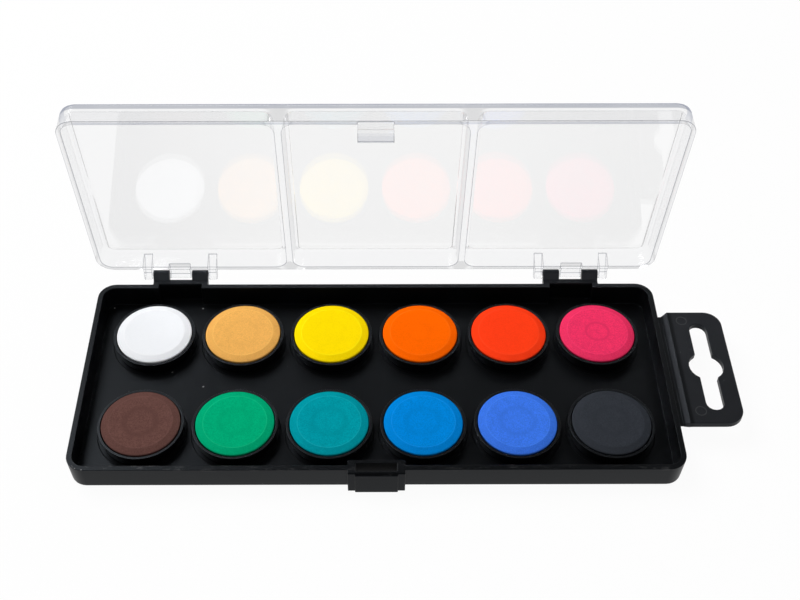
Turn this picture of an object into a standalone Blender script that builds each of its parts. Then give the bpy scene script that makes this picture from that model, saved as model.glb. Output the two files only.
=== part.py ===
"""A watercolour paint box: a black tray of twelve lift-out pans under a hinged clear lid.

Metres, +Z up. The origin is the middle of the tray's underside, +X runs along the tray
towards the hang tab, and +Y points to the hinges. The lid stands open as in use.
"""

import math

import bmesh
import bpy
from mathutils import Matrix, Vector

# General values
SEAT_GAP = 0.0003
OVERRUN = 0.0010
MERGE_DISTANCE = 0.000001
SMOOTH_ANGLE = math.radians(32)

# Tray shell
TRAY_LENGTH = 0.1700
TRAY_WIDTH = 0.0692
TRAY_HEIGHT = 0.0081
RIM_WIDTH = 0.0016
WALL_DRAFT = 0.00045
TRAY_CORNER = 0.0052
TRAY_FOOT_RADIUS = 0.0006
FLOOR_THICKNESS = 0.0012
CORNER_STEPS = 7

# Pans, and the recess and the peg that each one sits on
END_SPACE = 0.0052
SIDE_SPACE = 0.0057
PAN_SPACING = 0.0022
TROUGH_WIDTH = 0.0090
PAN_HEIGHT = 0.00405
PAN_WALL = 0.00045
PAN_DRAFT = 0.0005
PAN_LIP_WIDTH = 0.00075
PAN_LIP_HEIGHT = 0.0005
PAN_BASE = 0.0016
RECESS_MARGIN = 0.0005
RECESS_DEPTH = 0.0003
PEG_RADIUS = 0.0040
PEG_HEIGHT = 0.0008
PEG_STEPS = 16
PAN_STEPS = 28
LIFT_CLEARANCE = 0.0003

# Paint tablets
PAINT_PROUD = 0.00025
PAINT_CROWN = 0.0007
PAINT_FLAT_SHARE = 0.8125

# Hinges
HINGE_END_DISTANCE = 0.0247
HINGE_SETBACK = 0.0033
HINGE_RISE = 0.00115
BARREL_RADIUS = 0.00125
BARREL_STEPS = 14
BRACKET_HALF_WIDTH = 0.0084
BRACKET_DEPTH = 0.0020
BRACKET_WALL = 0.0018
BRACKET_FOOT = 0.0032
KNUCKLE_LENGTH = 0.0049
HINGE_PIN_RADIUS = 0.0005
HINGE_PIN_LENGTH = 0.0024
PIN_STEPS = 12

# Latch loop on the tray's front
LATCH_HALF_WIDTH = 0.00785
LATCH_PLATE_HALF_WIDTH = 0.00587
LATCH_SLOT_HALF_WIDTH = 0.0057
LATCH_INSET = 0.0033
LATCH_SLOT_INSET = 0.0023
LATCH_SIDE_PROUD = 0.0013
LATCH_PLATE_PROUD = 0.0018
LATCH_CHAMFER_DEPTH = 0.0010
LATCH_CHAMFER_DROP = 0.0005

# Hang tab
TAB_REACH = 0.0186
TAB_WIDTH = 0.0416
TAB_OFFSET = 0.0017
TAB_THICKNESS = 0.0019
TAB_CORNER = 0.0050
TAB_GROOVE_DEPTH = 0.0015
TAB_GROOVE_FLOOR = 0.0013
TAB_GROOVE_SLOPE = 0.0016
TAB_GROOVE_INSET = 0.0005
TAB_WEB = 0.0008
HANG_SLOT_LENGTH = 0.0322
HANG_SLOT_WIDTH = 0.0051
HANG_HOLE_RADIUS = 0.0050
HANG_SLOT_EDGE = 0.00745
ARC_STEPS = 8

# Lid
LID_OPEN_ANGLE = math.radians(80.4)
LID_REAR_INSET = 0.0003
LID_HEIGHT = 0.0070
LID_PANEL = 0.0011
LID_WALL = 0.0014
LID_DRAFT = 0.0003
LID_EDGE_RADIUS = 0.0012
EDGE_STEPS = 3
DIVIDER_SHARE = 0.307
DIVIDER_WIDTH = 0.0020
WELL_CORNER = 0.0035
WELL_FILLET = 0.0014
WELL_CORNER_STEPS = 5
ARM_WIDTH = 0.0025
ARM_RADIUS = 0.00175
ARM_DROP = 0.0012
ARM_UNDERSIDE = 0.0006
LUG_RADIUS = 0.00125
TONGUE_WIDTH = 0.0096
TONGUE_LENGTH = 0.0063
TONGUE_THICKNESS = 0.0011
TONGUE_ROOT = 0.0022
HOOK_LENGTH = 0.0035
HOOK_DEPTH = 0.0004
HOOK_TIP = 0.0006

# Paints by place: columns run from left to right, the first row is the rear one
PAINT_ROWS = (
    (("white", (0.86, 0.88, 0.89)), ("ochre", (0.80, 0.42, 0.09)), ("yellow", (0.95, 0.72, 0.00)),
     ("orange", (0.96, 0.14, 0.00)), ("vermilion", (0.94, 0.05, 0.01)), ("magenta", (0.76, 0.03, 0.11))),
    (("brown", (0.12, 0.05, 0.04)), ("green", (0.01, 0.38, 0.17)), ("turquoise", (0.01, 0.28, 0.33)),
     ("cerulean", (0.01, 0.21, 0.60)), ("ultramarine", (0.04, 0.17, 0.70)),
     ("black", (0.025, 0.03, 0.035))),
)

# Places worked out from the sizes above
FLOOR_TOP = FLOOR_THICKNESS
REAR_FACE = TRAY_WIDTH / 2
FRONT_FACE = -TRAY_WIDTH / 2
SIDE_FACE = TRAY_LENGTH / 2
RECESS_FLOOR = FLOOR_TOP - RECESS_DEPTH
PAN_SEAT = RECESS_FLOOR + SEAT_GAP
PAN_PITCH_X = (TRAY_LENGTH - 2 * END_SPACE) / len(PAINT_ROWS[0])
ROWS_WIDTH = TRAY_WIDTH - 2 * SIDE_SPACE
PAN_RADIUS = min((PAN_PITCH_X - PAN_SPACING) / 2, (ROWS_WIDTH - TROUGH_WIDTH) / (2 * len(PAINT_ROWS)))
PAN_PITCH_Y = ROWS_WIDTH - 2 * PAN_RADIUS
PAN_MOUTH = PAN_RADIUS - PAN_LIP_WIDTH
PAINT_RADIUS = PAN_MOUTH - SEAT_GAP
BRACKET_FACE = REAR_FACE + BRACKET_DEPTH
HINGE_SPACING = TRAY_LENGTH - 2 * HINGE_END_DISTANCE
HINGE_Y = REAR_FACE + HINGE_SETBACK
HINGE_Z = TRAY_HEIGHT + HINGE_RISE
HINGE_POINT = Vector((0, HINGE_Y, HINGE_Z))
LID_EDGE = TRAY_HEIGHT + SEAT_GAP
LID_TOP = LID_EDGE + LID_HEIGHT
LID_REAR = REAR_FACE - LID_REAR_INSET
LID_LENGTH = TRAY_LENGTH
DIVIDER_SPACING = LID_LENGTH * DIVIDER_SHARE
ARM_START = BRACKET_HALF_WIDTH + SEAT_GAP
LUG_HALF_WIDTH = BRACKET_HALF_WIDTH - KNUCKLE_LENGTH - SEAT_GAP
TONGUE_INNER = FRONT_FACE + LID_WALL
TONGUE_OUTER = TONGUE_INNER - TONGUE_THICKNESS
LATCH_SLOT_FRONT = TONGUE_OUTER - HOOK_DEPTH - SEAT_GAP


# Scene and materials
def clear_scene():
    for item in list(bpy.data.objects):
        bpy.data.objects.remove(item)


def plastic(name, colour, roughness, alpha=1.0, transmission=0.0):
    material = bpy.data.materials.new(name)
    material.use_nodes = True
    shader = material.node_tree.nodes["Principled BSDF"]
    shader.inputs["Base Color"].default_value = (*colour, 1)
    shader.inputs["Roughness"].default_value = roughness
    shader.inputs["Metallic"].default_value = 0
    shader.inputs["Alpha"].default_value = alpha
    shader.inputs["Transmission Weight"].default_value = transmission
    material.diffuse_color = (*colour, alpha)
    return material


# Outlines
def arc(centre, radius, start, end, steps):
    """Points on an arc, both ends included, with the angles in degrees."""
    turns = [math.radians(start + (end - start) * step / steps) for step in range(steps + 1)]
    return [(centre[0] + radius * math.cos(turn), centre[1] + radius * math.sin(turn)) for turn in turns]


def rounded_rectangle(low, high, radius, steps):
    """The outline of a rectangle between two corners, with round corners, anticlockwise."""
    left, bottom = low[0] + radius, low[1] + radius
    right, top = high[0] - radius, high[1] - radius
    centres = ((right, top), (left, top), (left, bottom), (right, bottom))
    outline = []
    for quarter, centre in enumerate(centres):
        outline += arc(centre, radius, 90 * quarter, 90 * quarter + 90, steps)
    return outline


def inset_rectangle(low, high, radius, inset, steps):
    low = (low[0] + inset, low[1] + inset)
    high = (high[0] - inset, high[1] - inset)
    return rounded_rectangle(low, high, radius - inset, steps)


def box_outline(low, high):
    return [low, (high[0], low[1]), high, (low[0], high[1])]


# Solids, each one added to an open bmesh
def add_loft(mesh, rings):
    """Skin a stack of outlines with equal counts, each with its height, and cap both ends."""
    loops = [[mesh.verts.new((x, y, height)) for x, y in outline] for outline, height in rings]
    faces = [mesh.faces.new(loops[0][::-1]), mesh.faces.new(loops[-1])]
    for lower, upper in zip(loops, loops[1:]):
        for index, vertex in enumerate(lower):
            after = (index + 1) % len(lower)
            faces.append(mesh.faces.new((vertex, lower[after], upper[after], upper[index])))
    bmesh.ops.recalc_face_normals(mesh, faces=faces)


def add_prism(mesh, outline, axis, start, end):
    """Extrude an outline along X, Y or Z; along X it lies in YZ, and along Y in XZ."""
    place = {
        "X": lambda point: (start, point[0], point[1]),
        "Y": lambda point: (point[0], start, point[1]),
        "Z": lambda point: (point[0], point[1], start),
    }[axis]
    length = end - start
    span = {
        "X": Vector((length, 0, 0)),
        "Y": Vector((0, length, 0)),
        "Z": Vector((0, 0, length)),
    }[axis]
    base = mesh.faces.new([mesh.verts.new(place(point)) for point in outline])
    grown = bmesh.ops.extrude_face_region(mesh, geom=[base])["geom"]
    moved = [item for item in grown if isinstance(item, bmesh.types.BMVert)]
    bmesh.ops.translate(mesh, verts=moved, vec=span)
    faces = {face for vertex in moved for face in vertex.link_faces} | {base}
    bmesh.ops.recalc_face_normals(mesh, faces=list(faces))


def add_turned(mesh, profile, steps):
    """Spin a profile of (radius, height) points, both ends on the axis, about Z."""
    points = [mesh.verts.new((radius, 0, height)) for radius, height in profile]
    edges = [mesh.edges.new(pair) for pair in zip(points, points[1:])]
    bmesh.ops.spin(mesh, geom=points + edges, cent=(0, 0, 0), axis=(0, 0, 1), angle=math.tau, steps=steps)
    bmesh.ops.remove_doubles(mesh, verts=mesh.verts, dist=MERGE_DISTANCE)
    bmesh.ops.recalc_face_normals(mesh, faces=mesh.faces)


def finished_mesh(name, mesh, material=None, about=None):
    """Turn a bmesh into mesh data, measured from the point about where one is given."""
    if about is not None:
        bmesh.ops.translate(mesh, verts=mesh.verts, vec=-about)
    data = bpy.data.meshes.new(name)
    mesh.to_mesh(data)
    mesh.free()
    if material is not None:
        data.materials.append(material)
    data.shade_smooth()
    data.set_sharp_from_angle(angle=SMOOTH_ANGLE)
    return data


def place_object(name, data, location=(0, 0, 0), parent=None):
    item = bpy.data.objects.new(name, data)
    item.location = location
    item.parent = parent
    bpy.context.scene.collection.objects.link(item)
    return item


def shape_with(target, tool, operation):
    """Join, cut or intersect the target with a hidden tool solid."""
    tool.hide_render = True
    tool.display_type = "WIRE"
    step = target.modifiers.new(tool.name, "BOOLEAN")
    step.operation = operation
    step.solver = "EXACT"
    step.object = tool


def tool_solid(name, mesh, parent=None, about=None):
    return place_object(name, finished_mesh(name, mesh, about=about), parent=parent)


# Tray shell, before anything is added to it
def tray_blank(material):
    low = (-SIDE_FACE, FRONT_FACE)
    high = (SIDE_FACE, REAR_FACE)
    rings = []
    for step in range(EDGE_STEPS + 1):
        turn = math.pi / 2 * step / EDGE_STEPS
        inset = WALL_DRAFT + TRAY_FOOT_RADIUS * (1 - math.sin(turn))
        height = TRAY_FOOT_RADIUS * (1 - math.cos(turn))
        rings.append((inset_rectangle(low, high, TRAY_CORNER, inset, CORNER_STEPS), height))
    rings.append((rounded_rectangle(low, high, TRAY_CORNER, CORNER_STEPS), TRAY_HEIGHT))
    mesh = bmesh.new()
    add_loft(mesh, rings)
    return place_object("tray", finished_mesh("tray", mesh, material))


def tray_cavity():
    low = (-SIDE_FACE, FRONT_FACE)
    high = (SIDE_FACE, REAR_FACE)
    mesh = bmesh.new()
    floor = inset_rectangle(low, high, TRAY_CORNER, RIM_WIDTH + WALL_DRAFT, CORNER_STEPS)
    mouth = inset_rectangle(low, high, TRAY_CORNER, RIM_WIDTH, CORNER_STEPS)
    add_loft(mesh, [(floor, FLOOR_TOP), (mouth, TRAY_HEIGHT), (mouth, TRAY_HEIGHT + OVERRUN)])
    return tool_solid("tray_cavity", mesh)


def hinge_centres():
    return (-HINGE_SPACING / 2, HINGE_SPACING / 2)


# Behind each hinge the rear wall steps outwards, and a pocket follows it inside
def hinge_bracket_blocks():
    mesh = bmesh.new()
    for centre in hinge_centres():
        low = (centre - BRACKET_HALF_WIDTH, REAR_FACE - RIM_WIDTH)
        high = (centre + BRACKET_HALF_WIDTH, BRACKET_FACE)
        add_prism(mesh, box_outline(low, high), "Z", TRAY_FOOT_RADIUS, TRAY_HEIGHT)
    return tool_solid("hinge_bracket_blocks", mesh)


def hinge_pockets():
    mesh = bmesh.new()
    half_width = BRACKET_HALF_WIDTH - BRACKET_WALL
    for centre in hinge_centres():
        low = (centre - half_width, REAR_FACE - RIM_WIDTH - OVERRUN)
        high = (centre + half_width, BRACKET_FACE - BRACKET_WALL)
        add_prism(mesh, box_outline(low, high), "Z", FLOOR_TOP, TRAY_HEIGHT + OVERRUN)
    return tool_solid("hinge_pockets", mesh)


def knuckle_outline():
    """The side view of a knuckle: a barrel on a foot that rises from the stepped wall."""
    root = BRACKET_FACE - BRACKET_WALL / 2
    return [
        (root, TRAY_HEIGHT - BRACKET_FOOT),
        (BRACKET_FACE - SEAT_GAP, TRAY_HEIGHT - BRACKET_FOOT),
        *arc((HINGE_Y, HINGE_Z), BARREL_RADIUS, -60, 160, BARREL_STEPS),
        (root, TRAY_HEIGHT - SEAT_GAP),
    ]


def hinge_knuckles():
    mesh = bmesh.new()
    for centre in hinge_centres():
        for side in (-1, 1):
            ends = sorted((centre + side * BRACKET_HALF_WIDTH,
                           centre + side * (BRACKET_HALF_WIDTH - KNUCKLE_LENGTH)))
            add_prism(mesh, knuckle_outline(), "X", *ends)
    return tool_solid("hinge_knuckles", mesh)


def add_hinge_rods(mesh, radius, inner, outer):
    """Four rods on the hinges' axis, one at each side of each hinge, from inner to outer."""
    outline = arc((HINGE_Y, HINGE_Z), radius, 0, 360, PIN_STEPS)[:-1]
    for centre in hinge_centres():
        for side in (-1, 1):
            ends = sorted((centre + side * inner, centre + side * outer))
            add_prism(mesh, outline, "X", *ends)


def knuckle_holes():
    mesh = bmesh.new()
    inner = BRACKET_HALF_WIDTH - HINGE_PIN_LENGTH - SEAT_GAP
    add_hinge_rods(mesh, HINGE_PIN_RADIUS + SEAT_GAP, inner, BRACKET_HALF_WIDTH + OVERRUN)
    return tool_solid("knuckle_holes", mesh)


# The latch loop is a block across the front wall, with a slot for the lid's tongue
def latch_block():
    plate_face = FRONT_FACE - LATCH_PLATE_PROUD
    side_face = FRONT_FACE - LATCH_SIDE_PROUD
    inner_face = FRONT_FACE + LATCH_INSET
    outline = [
        (LATCH_HALF_WIDTH, inner_face),
        (-LATCH_HALF_WIDTH, inner_face),
        (-LATCH_HALF_WIDTH, side_face),
        (-LATCH_PLATE_HALF_WIDTH, side_face),
        (-LATCH_PLATE_HALF_WIDTH, plate_face),
        (LATCH_PLATE_HALF_WIDTH, plate_face),
        (LATCH_PLATE_HALF_WIDTH, side_face),
        (LATCH_HALF_WIDTH, side_face),
    ]
    mesh = bmesh.new()
    add_prism(mesh, outline, "Z", 0, TRAY_HEIGHT)
    return tool_solid("latch_block", mesh)


def latch_cuts():
    """The tongue's slot, and the slope along the front of the loop's top."""
    mesh = bmesh.new()
    low = (-LATCH_SLOT_HALF_WIDTH, LATCH_SLOT_FRONT)
    high = (LATCH_SLOT_HALF_WIDTH, FRONT_FACE + LATCH_SLOT_INSET)
    add_prism(mesh, box_outline(low, high), "Z", -OVERRUN, TRAY_HEIGHT + OVERRUN)
    plate_face = FRONT_FACE - LATCH_PLATE_PROUD
    slope = [
        (plate_face - OVERRUN, TRAY_HEIGHT - LATCH_CHAMFER_DROP),
        (plate_face, TRAY_HEIGHT - LATCH_CHAMFER_DROP),
        (plate_face + LATCH_CHAMFER_DEPTH, TRAY_HEIGHT),
        (plate_face + LATCH_CHAMFER_DEPTH, TRAY_HEIGHT + OVERRUN),
        (plate_face - OVERRUN, TRAY_HEIGHT + OVERRUN),
    ]
    reach = LATCH_HALF_WIDTH + OVERRUN
    add_prism(mesh, slope, "X", -reach, reach)
    return tool_solid("latch_cuts", mesh)


# The hang tab stands level with the rim, past a groove where it can be snapped off
def hang_tab():
    groove_floor = TRAY_HEIGHT - TAB_GROOVE_DEPTH
    underside = TRAY_HEIGHT - TAB_THICKNESS
    slope_start = SIDE_FACE + TAB_GROOVE_FLOOR
    slope_end = slope_start + TAB_GROOVE_SLOPE
    root = SIDE_FACE - RIM_WIDTH / 2
    tip = SIDE_FACE + TAB_REACH
    side_view = [
        (root, groove_floor - TAB_WEB),
        (slope_start + TAB_WEB / 2, groove_floor - TAB_WEB),
        (slope_end + TAB_WEB / 2, underside),
        (tip, underside),
        (tip, TRAY_HEIGHT),
        (slope_end, TRAY_HEIGHT),
        (slope_start, groove_floor),
        (root, groove_floor),
    ]
    front = TAB_OFFSET - TAB_WIDTH / 2
    rear = TAB_OFFSET + TAB_WIDTH / 2
    mesh = bmesh.new()
    add_prism(mesh, side_view, "Y", front, rear)
    tab = tool_solid("hang_tab", mesh)
    outline = [
        (root - OVERRUN, front + TAB_GROOVE_INSET),
        (slope_start, front + TAB_GROOVE_INSET),
        (slope_end, front),
        *arc((tip - TAB_CORNER, front + TAB_CORNER), TAB_CORNER, -90, 0, ARC_STEPS),
        *arc((tip - TAB_CORNER, rear - TAB_CORNER), TAB_CORNER, 0, 90, ARC_STEPS),
        (slope_end, rear),
        (slope_start, rear - TAB_GROOVE_INSET),
        (root - OVERRUN, rear - TAB_GROOVE_INSET),
    ]
    mesh = bmesh.new()
    add_prism(mesh, outline, "Z", groove_floor - TAB_WEB - OVERRUN, TRAY_HEIGHT + OVERRUN)
    shape_with(tab, tool_solid("hang_tab_outline", mesh), "INTERSECT")
    return tab


def hang_slot():
    """A slot with a round hole across its middle, as hooks on shop racks need."""
    centre_x = SIDE_FACE + TAB_REACH - HANG_SLOT_EDGE
    end = HANG_SLOT_LENGTH / 2 - HANG_SLOT_WIDTH / 2
    spread = math.degrees(math.asin(HANG_SLOT_WIDTH / 2 / HANG_HOLE_RADIUS))
    middle = (centre_x, TAB_OFFSET)
    outline = [
        *arc(middle, HANG_HOLE_RADIUS, spread - 90, 90 - spread, ARC_STEPS),
        *arc((centre_x, TAB_OFFSET + end), HANG_SLOT_WIDTH / 2, 0, 180, ARC_STEPS),
        *arc(middle, HANG_HOLE_RADIUS, 90 + spread, 270 - spread, ARC_STEPS),
        *arc((centre_x, TAB_OFFSET - end), HANG_SLOT_WIDTH / 2, 180, 360, ARC_STEPS),
    ]
    mesh = bmesh.new()
    bottom = TRAY_HEIGHT - TAB_THICKNESS - OVERRUN
    add_prism(mesh, outline, "Z", bottom, TRAY_HEIGHT + OVERRUN)
    return tool_solid("hang_slot", mesh)


def pan_places():
    """The column, the row and the middle of each pan's place; row 0 is the rear one."""
    columns = len(PAINT_ROWS[0])
    for row, paints in enumerate(PAINT_ROWS):
        for column in range(len(paints)):
            x = (column - (columns - 1) / 2) * PAN_PITCH_X
            y = (0.5 - row) * PAN_PITCH_Y
            yield column, row, (x, y)


def add_round_prisms(mesh, radius, steps, start, end):
    """One upright cylinder at every pan's place."""
    for _, _, centre in pan_places():
        add_prism(mesh, arc(centre, radius, 0, 360, steps)[:-1], "Z", start, end)


def floor_recesses():
    mesh = bmesh.new()
    add_round_prisms(mesh, PAN_RADIUS + RECESS_MARGIN, PAN_STEPS, RECESS_FLOOR, FLOOR_TOP + OVERRUN)
    return tool_solid("floor_recesses", mesh)


def floor_pegs():
    """A low round peg under each pan keeps it in its place."""
    mesh = bmesh.new()
    add_round_prisms(mesh, PEG_RADIUS, PEG_STEPS, RECESS_FLOOR / 2, RECESS_FLOOR + PEG_HEIGHT)
    return tool_solid("floor_pegs", mesh)


def build_tray(material):
    tray = tray_blank(material)
    shape_with(tray, hinge_bracket_blocks(), "UNION")
    shape_with(tray, tray_cavity(), "DIFFERENCE")
    shape_with(tray, hinge_pockets(), "DIFFERENCE")
    shape_with(tray, latch_block(), "UNION")
    shape_with(tray, latch_cuts(), "DIFFERENCE")
    shape_with(tray, hang_tab(), "UNION")
    shape_with(tray, hang_slot(), "DIFFERENCE")
    shape_with(tray, hinge_knuckles(), "UNION")
    shape_with(tray, knuckle_holes(), "DIFFERENCE")
    shape_with(tray, floor_recesses(), "DIFFERENCE")
    shape_with(tray, floor_pegs(), "UNION")
    return tray


# Pans and paint tablets
def pan_mesh(material):
    lip_under = PAN_HEIGHT - PAN_LIP_HEIGHT
    body_radius = PAN_MOUTH + PAN_WALL
    socket_radius = PEG_RADIUS + LIFT_CLEARANCE
    profile = [
        (0, PEG_HEIGHT),
        (socket_radius, PEG_HEIGHT),
        (socket_radius, 0),
        (body_radius - PAN_DRAFT, 0),
        (body_radius, lip_under),
        (PAN_RADIUS, lip_under),
        (PAN_RADIUS, PAN_HEIGHT),
        (PAN_MOUTH, PAN_HEIGHT),
        (PAN_MOUTH - PAN_DRAFT, PAN_BASE),
        (0, PAN_BASE),
    ]
    mesh = bmesh.new()
    add_turned(mesh, profile, PAN_STEPS)
    return finished_mesh("pan", mesh, material)


def paint_mesh():
    """A pressed cake with a flat top and a sloping edge, seated in its pan."""
    bottom = PAN_BASE + SEAT_GAP
    edge = PAN_HEIGHT + PAINT_PROUD
    profile = [
        (0, bottom),
        (PAINT_RADIUS - PAN_DRAFT, bottom),
        (PAINT_RADIUS, PAN_HEIGHT),
        (PAINT_RADIUS, edge),
        (PAINT_RADIUS * PAINT_FLAT_SHARE, edge + PAINT_CROWN),
        (0, edge + PAINT_CROWN),
    ]
    mesh = bmesh.new()
    add_turned(mesh, profile, PAN_STEPS)
    return finished_mesh("paint", mesh)


def build_pans(material):
    pan_data = pan_mesh(material)
    paint_data = paint_mesh()
    paint_data.materials.append(None)
    for column, row, (x, y) in pan_places():
        colour_name, colour = PAINT_ROWS[row][column]
        pan = place_object("pan_" + colour_name, pan_data, (x, y, PAN_SEAT))
        paint = place_object("paint_" + colour_name, paint_data, parent=pan)
        paint.material_slots[0].link = "OBJECT"
        paint.material_slots[0].material = plastic(colour_name + " paint", colour, 0.85)


# Lid, modelled as closed and measured from the hinge's axis
def lid_pivot():
    pivot = bpy.data.objects.new("lid_pivot", None)
    pivot.location = HINGE_POINT
    pivot.rotation_euler.x = -LID_OPEN_ANGLE
    bpy.context.scene.collection.objects.link(pivot)
    return pivot


def lid_blank(material, pivot):
    low = (-LID_LENGTH / 2, FRONT_FACE)
    high = (LID_LENGTH / 2, LID_REAR)
    rings = [(rounded_rectangle(low, high, TRAY_CORNER, CORNER_STEPS), LID_EDGE)]
    for step in range(EDGE_STEPS + 1):
        turn = math.pi / 2 * step / EDGE_STEPS
        inset = LID_DRAFT + LID_EDGE_RADIUS * (1 - math.cos(turn))
        height = LID_TOP - LID_EDGE_RADIUS * (1 - math.sin(turn))
        rings.append((inset_rectangle(low, high, TRAY_CORNER, inset, CORNER_STEPS), height))
    mesh = bmesh.new()
    add_loft(mesh, rings)
    return place_object("lid", finished_mesh("lid", mesh, material, about=HINGE_POINT), parent=pivot)


def well_ranges():
    """Where each of the three mixing wells starts and ends along X."""
    inner_end = LID_LENGTH / 2 - LID_WALL
    near = DIVIDER_SPACING / 2 - DIVIDER_WIDTH / 2
    far = DIVIDER_SPACING / 2 + DIVIDER_WIDTH / 2
    return ((-inner_end, -far), (-near, near), (far, inner_end))


def lid_wells(pivot):
    mesh = bmesh.new()
    ceiling = LID_TOP - LID_PANEL
    for start, end in well_ranges():
        low = (start, FRONT_FACE + LID_WALL)
        high = (end, LID_REAR - LID_WALL)
        mouth = rounded_rectangle(low, high, WELL_CORNER, WELL_CORNER_STEPS)
        rings = [(mouth, LID_EDGE - OVERRUN), (mouth, LID_EDGE)]
        for step in range(EDGE_STEPS + 1):
            turn = math.pi / 2 * step / EDGE_STEPS
            inset = LID_DRAFT + WELL_FILLET * (1 - math.cos(turn))
            height = ceiling - WELL_FILLET * (1 - math.sin(turn))
            rings.append((inset_rectangle(low, high, WELL_CORNER, inset, WELL_CORNER_STEPS), height))
        add_loft(mesh, rings)
    return tool_solid("lid_wells", mesh, parent=pivot, about=HINGE_POINT)


def arm_outline(radius, underside, top, last_turn):
    """The side view of an arm that runs from the lid's rear wall to a round end at the axis."""
    centre = (HINGE_Y, HINGE_Z)
    root = LID_REAR - LID_WALL / 2
    meeting = 180 + math.degrees(math.asin((HINGE_Z - underside) / radius))
    return [
        (root, underside),
        *arc(centre, radius, meeting, last_turn, BARREL_STEPS),
        (LID_REAR, top),
        (root, top),
    ]


def lid_arms(pivot):
    """Two arms for each hinge, and a middle lug that is level with its own round end."""
    mesh = bmesh.new()
    underside = TRAY_HEIGHT + ARM_UNDERSIDE
    arm = arm_outline(ARM_RADIUS, underside, LID_TOP - ARM_DROP, 420)
    lug = arm_outline(LUG_RADIUS, underside, HINGE_Z + LUG_RADIUS, 450)
    for centre in hinge_centres():
        add_prism(mesh, lug, "X", centre - LUG_HALF_WIDTH, centre + LUG_HALF_WIDTH)
        for side in (-1, 1):
            ends = sorted((centre + side * ARM_START, centre + side * (ARM_START + ARM_WIDTH)))
            add_prism(mesh, arm, "X", *ends)
    return tool_solid("lid_arms", mesh, parent=pivot, about=HINGE_POINT)


def arm_pins(pivot):
    """Short pins on the arms' inner faces, which snap into the knuckles' holes."""
    mesh = bmesh.new()
    add_hinge_rods(mesh, HINGE_PIN_RADIUS, BRACKET_HALF_WIDTH - HINGE_PIN_LENGTH, ARM_START + ARM_WIDTH / 2)
    return tool_solid("arm_pins", mesh, parent=pivot, about=HINGE_POINT)


def lid_tongue(pivot):
    """A springy tongue, flush with the front wall's inner face, with a hook on its outer face."""
    tip = LID_EDGE - TONGUE_LENGTH
    hook_top = tip + HOOK_LENGTH
    outline = [
        (TONGUE_INNER, LID_EDGE + TONGUE_ROOT),
        (TONGUE_OUTER, LID_EDGE + TONGUE_ROOT),
        (TONGUE_OUTER, hook_top),
        (TONGUE_OUTER - HOOK_DEPTH, hook_top),
        (TONGUE_INNER - HOOK_TIP, tip),
        (TONGUE_INNER, tip),
    ]
    mesh = bmesh.new()
    add_prism(mesh, outline, "X", -TONGUE_WIDTH / 2, TONGUE_WIDTH / 2)
    return tool_solid("lid_tongue", mesh, parent=pivot, about=HINGE_POINT)


def build_lid(material):
    pivot = lid_pivot()
    lid = lid_blank(material, pivot)
    shape_with(lid, lid_wells(pivot), "DIFFERENCE")
    shape_with(lid, lid_arms(pivot), "UNION")
    shape_with(lid, arm_pins(pivot), "UNION")
    shape_with(lid, lid_tongue(pivot), "UNION")
    return lid


def main():
    clear_scene()
    black_plastic = plastic("black tray plastic", (0.018, 0.019, 0.021), 0.4)
    pan_plastic = plastic("black pan plastic", (0.012, 0.013, 0.014), 0.45)
    clear_plastic = plastic("clear lid plastic", (0.93, 0.94, 0.95), 0.08, alpha=0.35, transmission=1.0)
    build_tray(black_plastic)
    build_pans(pan_plastic)
    build_lid(clear_plastic)


main()
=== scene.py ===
# %% [markdown]
# A watercolour box, dressed for its picture.
#
# The real thing is a shallow black tray that holds round pans of pressed paint, with a clear
# lid that doubles as a mixing palette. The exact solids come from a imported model, and this
# lesson gives them rounded edges, worn plastic, clear plastic and dusty paint. All lengths are
# in metres, +X runs along the tray, +Y points to its hinges, and +Z is up.

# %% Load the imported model
import math

import bmesh
import bpy
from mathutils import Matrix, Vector


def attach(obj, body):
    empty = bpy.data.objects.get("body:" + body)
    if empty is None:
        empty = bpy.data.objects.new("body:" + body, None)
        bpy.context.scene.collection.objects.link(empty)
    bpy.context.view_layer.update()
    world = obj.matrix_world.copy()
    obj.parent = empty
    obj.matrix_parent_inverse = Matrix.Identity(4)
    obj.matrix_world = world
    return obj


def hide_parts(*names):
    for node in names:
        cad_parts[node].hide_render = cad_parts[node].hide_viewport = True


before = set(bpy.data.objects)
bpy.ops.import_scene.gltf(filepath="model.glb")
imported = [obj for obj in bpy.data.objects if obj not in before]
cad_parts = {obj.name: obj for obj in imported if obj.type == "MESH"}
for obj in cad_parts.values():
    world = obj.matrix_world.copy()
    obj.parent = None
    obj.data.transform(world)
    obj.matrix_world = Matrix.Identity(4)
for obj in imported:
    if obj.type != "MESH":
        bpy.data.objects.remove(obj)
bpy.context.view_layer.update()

# %% [markdown]
# Before anything is dressed, it helps to note the sizes that several steps share. They are
# those of the solids. The paints are listed by place: the rear row first, each row from left
# to right.

# %% Shared sizes
MM = 0.001
PITCH_X = 26.6 * MM
PITCH_Y = 33.4 * MM
PAN_SEAT = 1.2 * MM
RIM_TOP = 8.1 * MM
TRAY_FRONT = -34.6 * MM
TRAY_SIDE = 85.0 * MM

ROWS = (
    ("white", "ochre", "yellow", "orange", "vermilion", "magenta"),
    ("brown", "green", "turquoise", "cerulean", "ultramarine", "black"),
)


def place_of(row, column):
    """The middle of a pan's underside."""
    middle = (len(ROWS[row]) - 1) / 2
    return Vector(((column - middle) * PITCH_X, (0.5 - row) * PITCH_Y, PAN_SEAT))


PLACES = {name: place_of(row, column)
          for row, names in enumerate(ROWS) for column, name in enumerate(names)}
print("paints:", ", ".join(PLACES))

# %% [markdown]
# The camera comes first, so that every later choice can be judged in the same view. The
# picture was taken from in front and above, with a lens of moderate length. The small shifts
# only place the box in the frame.

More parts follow.
